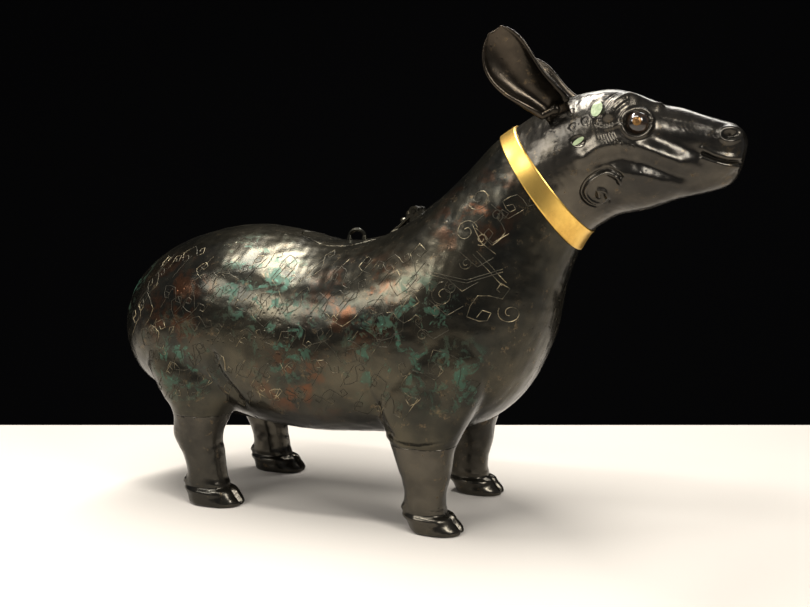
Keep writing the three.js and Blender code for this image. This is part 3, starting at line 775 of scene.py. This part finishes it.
def place_table_and_wall():
    ahead = Vector((CAMERA_AIM[0], CAMERA_AIM[1], 0)).normalized()
    across = Vector((ahead.y, -ahead.x, 0))
    below_camera = Vector((CAMERA_AT[0], CAMERA_AT[1], 0))
    far_edge = below_camera + ahead * TABLE_BEHIND
    near_edge = below_camera - ahead * TABLE_BEFORE
    half = across * TABLE_HALF_WIDTH
    flat_sheet("table", [near_edge - half, near_edge + half, far_edge + half, far_edge - half], TABLE)
    wall_at = below_camera + ahead * WALL_BEHIND
    half = across * WALL_HALF_WIDTH
    foot = Vector((0, 0, WALL_FOOT))
    top = Vector((0, 0, WALL_TOP))
    wall_corners = [wall_at - half + foot, wall_at + half + foot, wall_at + half + top, wall_at - half + top]
    flat_sheet("wall", wall_corners, DARK_WALL)


# Body: one skin melted from trunk, tail and limbs, then creased
def melted_body():
    trunk = section_grid(BODY, 0, BODY_END, along=180, around=160)
    solids = [grid_mesh("skin", trunk), grid_mesh("tail", tail_grid())]
    for rows, base, _ in LIMBS.values():
        solids += [grid_mesh("limb", limb_grid(rows, base, side)) for side in SIDES.values()]
    body = joined("body", solids)
    melt(body, voxel=1.15, rounds=14)
    return body


def crease_body(body):
    """Creases of thigh and shoulder and the ridge over the foreleg, on both flanks."""
    co = points_of(body.data)
    flank = np.clip(np.abs(normals_of(body.data)[:, 1]) * 2, 0, 1)
    amount = ridge(co, THIGH_CREASE, width=3.2, height=-1.9)
    amount += ridge(co, SHOULDER_CREASE, width=3, height=-1.6)
    amount += ridge(co, FORELEG_RIDGE, width=1.6, height=1)
    amount += spot(co, SHOULDER, radius=26, height=0.8)
    displace(body.data, amount * flank + unevenness(co, longest=16, shortest=5, height=0.07, seed=3))
    co = points_of(body.data)
    co[:, 1] = np.clip(co[:, 1], -FLANK_LIMIT, FLANK_LIMIT)
    set_points(body.data, co)


# Legs: cut from the body's skin, so that they meet it
def leg_piece(name, skin, base, joint, side):
    """The part of the skin below the joint on one side, closed at the top."""
    bm = bmesh.new()
    bm.from_mesh(skin)
    geometry = list(bm.verts) + list(bm.edges) + list(bm.faces)
    plane = Vector((0, 0, joint * MM))
    bmesh.ops.bisect_plane(bm, geom=geometry, plane_co=plane, plane_no=(0, 0, 1), clear_outer=True)
    middle_x = (base + SHIFT) * MM
    middle_y = side * STANCE * MM
    gone = [
        v for v in bm.verts
        if v.co.y * side < 0 or v.co.z > joint * MM + 1e-6
        or abs(v.co.x - middle_x) > LEG_HALF_LENGTH * MM or abs(v.co.y - middle_y) > LEG_HALF_WIDTH * MM
    ]
    bmesh.ops.delete(bm, geom=gone, context="VERTS")
    bmesh.ops.holes_fill(bm, edges=[e for e in bm.edges if e.is_boundary], sides=0)
    bmesh.ops.recalc_face_normals(bm, faces=bm.faces)
    mesh = bpy.data.meshes.new(name)
    bm.to_mesh(mesh)
    bm.free()
    return add_object(name, mesh)


def shape_hoof(leg, base, joint, side):
    """Marks the hoof's edge, parts the toes, raises two dew claws and leaves sole and joint flat."""
    co = points_of(leg.data)
    normal = normals_of(leg.data)
    z = co[:, 2]
    forward = np.clip(normal[:, 0] * 1.6 + 0.2, 0, 1)
    backward = np.clip(-normal[:, 0] * 2, 0, 1)
    amount = HOOF_RIM * bell(z - HOOF_RIM_AT, 1.6) - HOOF_GROOVE * bell(z - HOOF_GROOVE_AT, 1.1)
    toe_gap = bell(co[:, 1] - side * STANCE, TOE_GAP_WIDTH) * np.clip((TOE_GAP_TOP - z) / 3, 0, 1)
    amount -= TOE_GAP_DEPTH * toe_gap * forward
    for turn in SIDES.values():
        dx = co[:, 0] - (base - DEW_CLAW_BACK)
        dy = co[:, 1] - (side * STANCE + turn * DEW_CLAW_ASIDE)
        dz = (z - DEW_CLAW_AT) / 1.5
        amount += DEW_CLAW * np.exp(-(dx**2 / 30 + dy**2 / 7 + dz**2 / 7)) * backward
    amount += unevenness(co, longest=10, shortest=3.5, height=0.05, seed=5)
    displace(leg.data, amount * np.clip(z / SOLE_FADE, 0, 1) * np.clip((joint - z) / JOINT_FADE, 0, 1))


# Opening the body: the space for the legs, the hollow, the filling mouth and the neck
def box_tool(low, high):
    """A box between two corners, in millimetres of the section tables."""
    bm = bmesh.new()
    bmesh.ops.create_cube(bm, size=1)
    for v in bm.verts:
        corner = [(high if v.co[axis] > 0 else low)[axis] for axis in range(3)]
        v.co = Vector((corner[0] + SHIFT, corner[1], corner[2])) * MM
    mesh = bpy.data.meshes.new("box")
    bm.to_mesh(mesh)
    bm.free()
    return add_object("box", mesh)


def prism_tool(ring, low, high):
    return joined("prism", [grid_mesh("prism", np.stack([ring + low, ring + high]))])


def mouth_tool():
    angle = turns(PRISM_SIDES)
    x = LID_CENTRE + (LID_LENGTH + LID_GAP) * np.cos(angle)
    ring = np.stack([x, (LID_WIDTH + LID_GAP) * np.sin(angle), np.zeros(PRISM_SIDES)], -1)
    return prism_tool(ring, np.array((0, 0, MOUTH_FROM)), np.array((0, 0, MOUTH_TO)))


def neck_tool(back=1, front=12):
    """A plug along the neck through the body's last section, one wall thinner than it."""
    top_x, top_z, low_x, low_z = BODY[-1][:4]
    along = np.array([top_z - low_z, 0, low_x - top_x]) / math.hypot(top_z - low_z, low_x - top_x)
    ring = section_grid(BODY, BODY_END, BODY_END, along=1, around=PRISM_SIDES, grow=-WALL)[0]
    return prism_tool(ring, -along * back, along * front)


def open_body(body):
    tools = []
    for _, base, joint in LIMBS.values():
        low = (base - SPACE_HALF_LENGTH, -SPACE_HALF_WIDTH, SPACE_FOOT)
        high = (base + SPACE_HALF_LENGTH, SPACE_HALF_WIDTH, joint + JOINT_GAP)
        tools.append(box_tool(low, high))
    hollow = section_grid(BODY, HOLLOW_START, BODY_END, along=70, around=80, grow=-WALL)
    tools += [joined("hollow", [grid_mesh("hollow", hollow)]), mouth_tool(), neck_tool()]
    cut(body, tools)


# Head: one fine loft, carved along lines of the side view
def eye_relief(co):
    relief = spot(co, EYE, radius=9.5, height=-1.6)
    relief += ridge(co, BROW, width=3, height=2.9)
    relief += ridge(co, arc(EYE, 7.4, 15, 165), width=1.3, height=2.2)
    relief += ridge(co, arc(EYE, 7.2, 190, 350), width=1.3, height=2)
    return relief + ridge(co, EYE_CORNER, width=1.4, height=0.9)


def cheek_relief(co):
    relief = ridge(co, CHEEKBONE, width=4.4, height=2.2)
    relief += ridge(co, CHEEK_FURROW, width=4.6, height=-1.9)
    relief += ridge(co, MUZZLE_FURROW, width=4.2, height=-1.2)
    relief += ridge(co, JAW_MUSCLE, width=3.6, height=1.4)
    relief += spot(co, MUZZLE_SWELL, radius=8, height=1.3)
    relief += spot(co, JAW_SWELL, radius=12, height=1)
    return relief + spot(co, CHEEK_SWELL, radius=14, height=0.8)


def mouth_relief(co):
    relief = ridge(co, MOUTH, width=0.75, height=-1.7)
    relief += ridge(co, raised(MOUTH, 2.4), width=1.5, height=0.9)
    relief += ridge(co, raised(MOUTH, -2.3), width=1.6, height=0.8)
    relief += ridge(co, LIP_NOTCH, width=1.6, height=-0.7)
    relief += ridge(co, arc(NOSTRIL, 5, 0, 360, squash=0.66, steps=22), width=1.5, height=1.2)
    return relief + spot(co, NOSTRIL, radius=2.3, height=-2.8, stretch=(1.6, 0.85))


def jaw_relief(co):
    """A low disc with a raised scroll and a groove outside it."""
    scroll = along_rows(JAW_SCROLL, 60)
    groove = JAW_SCROLL_MIDDLE + (scroll[4:42] - JAW_SCROLL_MIDDLE) * 1.18
    relief = spot(co, JAW_SCROLL_MIDDLE, radius=7.5, height=1.3)
    relief += ridge(co, scroll, width=1.2, height=1.5)
    return relief + ridge(co, groove, width=1.1, height=-1.4)


def engraving(co):
    """Lines like hair behind the eye, over it and on the muzzle, and small spirals."""
    relief = np.zeros(len(co))
    for k in range(7):
        line = arc(EYE, 12.5 + 1.35 * k, 118, 238 - 6 * k)
        relief += ridge(co, line, HAIR_WIDTH, -HAIR_DEPTH_BEHIND)
    for k in range(5):
        line = arc(EYE, 17.8 + 1.2 * k, 35, 95, steps=14)
        relief += ridge(co, line, HAIR_WIDTH, -HAIR_DEPTH_OVER)
    for at in SMALL_SPIRALS:
        line = spiral(at, 2.1, 0.5, start=60, turned=1.5, steps=20)
        relief += ridge(co, line, width=0.32, height=-SPIRAL_DEPTH)
    for k in range(9):
        x = 158 + 2.6 * k
        fall = 0.7 * k
        line = [(x - 2, 233.5 - fall), (x + 2.2, 231 - fall), (x + 5.6, 227 - fall)]
        relief += ridge(co, line, width=0.35, height=-MUZZLE_HAIR_DEPTH)
    return relief


def round_inlay(co, node):
    """1 where the inlay lies in the side view, fading to 0 round it."""
    low, high = (np.array(corner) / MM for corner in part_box(node))
    x = co[:, 0] + SHIFT - (low[0] + high[0]) / 2
    z = co[:, 2] - (low[2] + high[2]) / 2
    half_length = (high[0] - low[0]) / 2 + 0.5
    half_height = (high[2] - low[2]) / 2 + 0.2
    distance = np.hypot(x / half_length, z / half_height)
    return np.clip((1.25 - distance) / 0.35, 0, 1)


def carved_head():
    skin = section_grid(HEAD, 0, HEAD_END, along=360, around=400)
    head = joined("head_skin", [grid_mesh("head_skin", skin)])
    co = points_of(head.data)
    flank = np.clip((np.abs(normals_of(head.data)[:, 1]) - 0.12) * 3.5, 0, 1)
    relief = eye_relief(co) + cheek_relief(co) + mouth_relief(co) + jaw_relief(co) + engraving(co)
    for node in ("brow_inlay_right", "temple_inlay_right"):
        inside = round_inlay(co, node)
        relief = relief * (1 - inside) - INLAY_SINK * inside
    displace(head.data, relief * flank + unevenness(co, longest=9, shortest=2.5, height=0.035, seed=4))
    dip = spot(points_of(head.data), BROW_END, radius=7, height=-1)
    displace(head.data, dip * np.clip(normals_of(head.data)[:, 2], 0, 1))
    return head


# Ears: hollow-faced leaves with a rolled lip that ends in lobes at the root
def unit(direction):
    return np.array(direction) / np.linalg.norm(direction)


def ear_grid(side):
    """Rings across the ear: first its back, then its hollow face the other way."""
    rows = along_rows(EAR, EAR_RINGS)
    t = np.linspace(-1, 1, EAR_WIDTH_STEPS)
    middle = rows[:, None, 0:3] + unit(EAR_ACROSS) * (t[None, :, None] * rows[:, 3][:, None, None])
    depth = (t * t - 1)[None] * rows[:, 4:5]
    rim = 0.5 + 0.8 * bell(np.abs(t) - 0.93, 0.09)
    back = middle + unit(EAR_OPENS) * (depth - EAR_BACK)[..., None]
    face = middle + unit(EAR_OPENS) * (depth + rim[None])[..., None]
    grid = np.concatenate([back, face[:, ::-1]], 1)
    root_x, root_z = EAR[0][0], EAR[0][2]
    lean = LEFT_EAR_LEAN if side > 0 else 0.0
    x, z = grid[..., 0] - root_x, grid[..., 2] - root_z
    leaned_x = root_x + x * math.cos(lean) - z * math.sin(lean)
    leaned_z = root_z + x * math.sin(lean) + z * math.cos(lean)
    return np.stack([leaned_x, -side * grid[..., 1], leaned_z], -1)


def lip_mesh(line, root_radius):
    """A tube along a line that starts at the root, thickest there."""
    fade = np.linspace(1, 0, len(line))[:, None]
    ahead = np.gradient(line, axis=0)
    ahead /= np.linalg.norm(ahead, axis=1)[:, None]
    one = np.cross(ahead, (0, 1, 0))
    one /= np.linalg.norm(one, axis=1)[:, None]
    two = np.cross(ahead, one)
    radius = (LIP_RADIUS + (root_radius - LIP_RADIUS) * fade**1.5)[:, :, None]
    angle = turns(LIP_SIDES)[None, :, None]
    ring = one[:, None] * np.cos(angle) + two[:, None] * np.sin(angle)
    return grid_mesh("lip", line[:, None] + radius * ring)


def rim_line(grid, first_ring, back_column, face_column):
    """Places along one edge of the ear from the root up, half way between its back and its face."""
    rings = range(first_ring, EAR_RINGS - 7, 4)
    return [(grid[i, back_column] + grid[i, face_column]) / 2 for i in rings]


def ear_piece(name, side):
    grid = ear_grid(side)
    leading_back = EAR_WIDTH_STEPS - 1
    leading_face = EAR_WIDTH_STEPS
    lip_foot = (grid[LIP_FOOT_RING, 0] + grid[LIP_FOOT_RING, leading_face]) / 2
    trailing = [lip_foot, *rim_line(grid, TRAILING_LIP_RING, 0, -1)]
    leading = rim_line(grid, LEADING_LIP_RING, leading_back, leading_face)
    solids = [grid_mesh(name, grid)]
    for places, root_radius in ((trailing, TRAILING_LIP_RADIUS), (leading, LEADING_LIP_RADIUS)):
        line = np.array(places)
        solids.append(lip_mesh(line, root_radius))
        lobe_at = Vector((line[0] + (SHIFT, 0, 0)) * MM)
        solids.append(ball_mesh("lobe", lobe_at, root_radius * LOBE_SWELL * MM, segments=20, rings=14))
    piece = joined(name, solids)
    melt(piece, voxel=0.55, rounds=4)
    displace(piece.data, np.zeros(len(piece.data.vertices)))
    return piece


# Collar band, eyeballs and lid
def collar_band():
    """A tube that goes along the outside of the joint of neck and head and back inside it."""
    outside = section_grid(COLLAR, BAND_START, BAND_END, BAND_RINGS, BAND_SIDES, BAND_OUT)
    inside = section_grid(COLLAR, BAND_START, BAND_END, BAND_RINGS, BAND_SIDES, BAND_IN)
    mesh = grid_mesh("band", np.concatenate([outside, inside[::-1]]))
    bm = bmesh.new()
    bm.from_mesh(mesh)
    caps = [f for f in bm.faces if len(f.verts) > 4]
    bmesh.ops.delete(bm, geom=caps, context="FACES")
    bmesh.ops.bridge_loops(bm, edges=[e for e in bm.edges if e.is_boundary])
    bmesh.ops.recalc_face_normals(bm, faces=bm.faces)
    bm.to_mesh(mesh)
    bm.free()
    return add_object("gold_band", mesh)


def eyeball(word):
    low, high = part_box(f"eye_{word}")
    middle = (Vector(low) + Vector(high)) / 2
    name = f"eyeball_{word}"
    return add_object(name, ball_mesh(name, middle, (high[2] - low[2]) / 2, segments=48, rings=32))


def lid_plate():
    """The lid's own solid with its facets melted away."""
    plate = add_object("lid_plate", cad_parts["lid"].data.copy())
    melt(plate, voxel=0.42, rounds=8)
    return plate


# Inlaid wires: scrollwork drawn in the side view and pressed on both flanks
NECK_LINES = [
    spiral((62, 190), 7, 1.5, start=200, turned=1.3),
    spiral((57, 172), 6.5, 1.5, start=20, turned=1.3),
    spiral((48, 138), 7, 1.5, start=90, turned=1.4),
    spiral((82, 128), 6, 1.5, start=150, turned=1.3),
    [(66, 181), (60, 176), (66, 166), (74, 160)],
    [(62, 160), (70, 152), (78, 143)],
    [(64, 161.5), (72, 153.5), (80, 144.5)],
    [(40, 150), (60, 146), (78, 152)],
    [(40, 148.4), (60, 144.4), (78, 150.4)],
]
CLOUD_SCROLL = [
    (0, 0), (0.35, 0.05), (0.4, 0.4), (0.05, 0.42), (-0.1, 0.15), (-0.15, -0.35), (0.3, -0.45),
    (0.8, -0.4), (1, 0), (1.1, 0.5), (1.6, 0.55), (1.65, 0.15), (1.35, 0.12), (1.3, 0.3),
]
LARGE_SCROLLS = [                # x, z, size, turn, and 1 or -1 for its hand
    (12, 118, 17, 0.5, 1), (44, 102, 16, -0.4, -1), (20, 142, 15, 0.8, 1), (-18, 132, 18, -0.5, 1),
    (-30, 98, 18, 0.4, -1), (-62, 122, 18, 1.0, 1), (-92, 140, 16, -0.3, -1), (-120, 122, 17, 0.6, 1),
    (-150, 128, 14, -0.9, -1), (-122, 92, 15, 0.2, 1), (-64, 84, 15, -0.6, 1), (66, 126, 13, 1.1, -1),
    (70, 168, 10, 0.9, 1), (78, 186, 9, 0.4, -1), (30, 84, 14, 0.9, -1), (-148, 104, 13, 0.3, 1),
]
SCROLL_ROWS = [(150, -140), (132, -152), (112, -158), (92, -150), (76, -140)]      # z, first x
SCROLLS_IN_ROW = 11
SCROLL_PITCH = 17
ROW_STAGGER = 6
SMALL_SCROLL = 8.5
NECK_CURLS = 6                   # a row of small curls that climbs the side of the neck


def cloud_scroll(x, z, size, turn, hand):
    """A squared cloud scroll: a hook, a bar and a return hook, turned and sized."""
    c, s = math.cos(turn), math.sin(turn)
    return [
        (x + size * (along * c - hand * up * s), z + size * (along * s + hand * up * c))
        for along, up in CLOUD_SCROLL
    ]


def scrollwork():
    lines = NECK_LINES + [cloud_scroll(*scroll) for scroll in LARGE_SCROLLS]
    for row, (level, first) in enumerate(SCROLL_ROWS):
        for k in range(SCROLLS_IN_ROW):
            x = first + SCROLL_PITCH * k + ROW_STAGGER * (row % 2)
            z = level + 4 * math.sin(1.7 * k + row)
            lines.append(cloud_scroll(x, z, SMALL_SCROLL, 0.7 * math.sin(2.3 * k + row), (-1) ** k))
            lines.append([(x - 3, level - 8), (x + 6, level + 5)])
    for k in range(NECK_CURLS):
        x = 38 + 7 * k
        z = 116 + 13 * k
        lines.append(spiral((x, z), 3.6, 0.8, start=60 * k, turned=1.4, steps=20))
        lines.append([(x - 4, z + 6), (x + 6, z - 2), (x + 14, z + 3)])
    return lines


def finer(line, parts=5):
    out = []
    for (x0, z0), (x1, z1) in zip(line[:-1], line[1:]):
        out += [(x0 + (x1 - x0) * k / parts, z0 + (z1 - z0) * k / parts) for k in range(parts)]
    return out + [line[-1]]


def pressed(line, side, skin):
    """The line's points on one flank of the skin, in metres."""
    out = []
    for x, z in line:
        start = Vector((x + SHIFT, side * BESIDE, z)) * MM
        hit, normal, _, _ = skin.ray_cast(start, Vector((0, -side, 0)))
        if hit is not None and abs(normal.y) > WIRE_FACING:
            out.append(hit + normal * WIRE_PROUD * MM)
    return out


def inlaid_wires(body):
    skin = BVHTree.FromObject(body, bpy.context.evaluated_depsgraph_get())
    curves = bpy.data.curves.new("inlaid_wires", "CURVE")
    curves.dimensions = "3D"
    curves.bevel_depth = WIRE_RADIUS * MM
    curves.bevel_resolution = 1
    curves.materials.append(WIRE)
    for line in scrollwork():
        for side in SIDES.values():
            route = pressed(finer(line), side, skin)
            if len(route) < 4:
                continue
            spline = curves.splines.new("POLY")
            spline.points.add(len(route) - 1)
            for point, at in zip(spline.points, route):
                point.co = (*at, 1)
    return add_object("inlaid_wires", curves)


# The stage, the pieces, and what each piece rides on and stands for
scene.view_settings.view_transform = "Standard"
place_camera()
place_table_and_wall()
light_world()
for lamp_values in LAMPS:
    place_lamp(*lamp_values)

body = melted_body()
crease_body(body)
pieces = []                      # piece, node that it replaces, material, slot, body
for word, (_, base, joint) in LIMBS.items():
    for side_word, side in SIDES.items():
        node = f"leg_{word}_{side_word}"
        leg = leg_piece(f"cast_{node}", body.data, base, joint, side)
        shape_hoof(leg, base, joint, side)
        # The legs take the bronze whose lighter tones are a painted reflection of the table
        pieces.append((leg, node, LEG_BRONZE_WITH_PAINTED_REFLECTION, "bronze", "vessel"))
open_body(body)
pieces.append((body, "trunk", BODY_BRONZE, "bronze", "vessel"))
pieces.append((carved_head(), "head", HEAD_BRONZE, "bronze", "vessel"))
pieces.append((collar_band(), "collar", GILT, "gold", "vessel"))
pieces.append((lid_plate(), "lid", BODY_BRONZE, "bronze", "lid"))
for side_word, side in SIDES.items():
    ear = ear_piece(f"ear_leaf_{side_word}", side)
    pieces.append((ear, f"ear_{side_word}", EAR_BRONZE, "bronze", "vessel"))
    pieces.append((eyeball(side_word), f"eye_{side_word}", EYE_PASTE, "eye", "vessel"))
for piece, node, material, slot, rides_on in pieces:
    shade(piece, material)
    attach(piece, rides_on)
    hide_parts(node)
wires = inlaid_wires(body)
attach(wires, "vessel")

# The nodes that stay as they are get materials
NODE_MATERIALS = {"pupil": PUPIL, "inlay": STONE, "lid_loop": BODY_BRONZE, "hinge": BODY_BRONZE}
for node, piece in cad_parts.items():
    for word, material in NODE_MATERIALS.items():
        if word in node:
            for slot in piece.material_slots:
                slot.material = material
